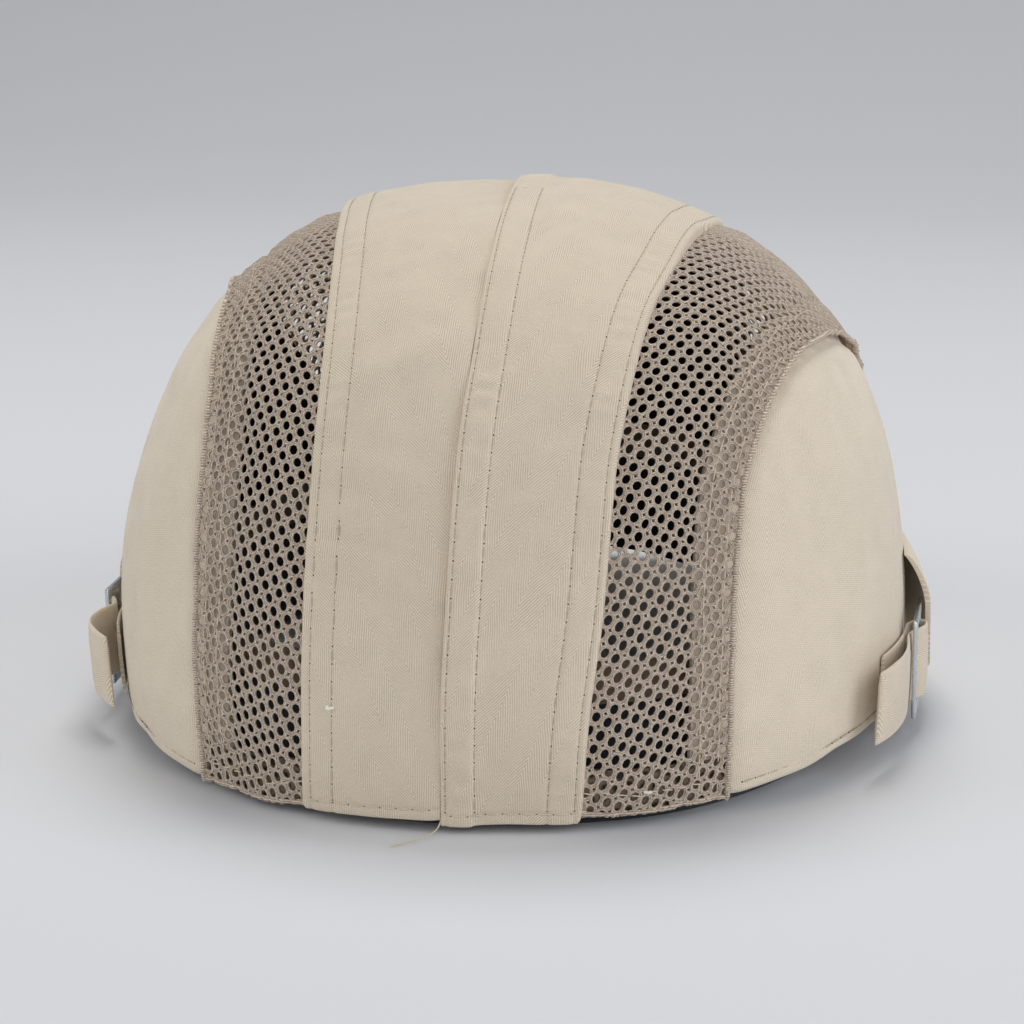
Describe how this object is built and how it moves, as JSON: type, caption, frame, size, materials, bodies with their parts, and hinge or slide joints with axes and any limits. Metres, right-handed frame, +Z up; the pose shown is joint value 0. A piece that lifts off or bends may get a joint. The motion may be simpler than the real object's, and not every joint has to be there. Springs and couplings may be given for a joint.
{
  "type": "flat cap",
  "caption": "Twill flat cap with a lapped centre strip, net ventilation panels, strap and buckle adjusters at the sides and a stiff arched peak.",
  "frame": {"origin": "on the surface the cap rests on, below the centre of its outline", "axes": "+Z up, the peak points along -Y and the back of the cap along +Y, the wearer's right is -X"},
  "size_m": [0.1924, 0.2504, 0.1234],
  "materials": {
    "twill": "beige cotton herringbone twill, matte",
    "net": "taupe knitted polyester net, slight sheen",
    "sweatband": "dark woven band with a taupe bound edge",
    "peak_twill": "beige cotton herringbone twill over a stiff board",
    "strap_twill": "folded beige cotton twill strap, edge stitched",
    "buckle_steel": "nickel plated pressed steel"
  },
  "bodies": {
    "root": {"centre_panel_left": "twill", "centre_panel_right": "twill", "net_panel_left": "net", "net_panel_right": "net", "side_panel_left": "twill", "side_panel_right": "twill", "sweatband": "sweatband", "peak": "peak_twill", "strap_left": "strap_twill", "strap_right": "strap_twill", "tab_left": "strap_twill", "tab_right": "strap_twill", "buckle_left": "buckle_steel", "buckle_right": "buckle_steel"}
  },
  "joints": []
}
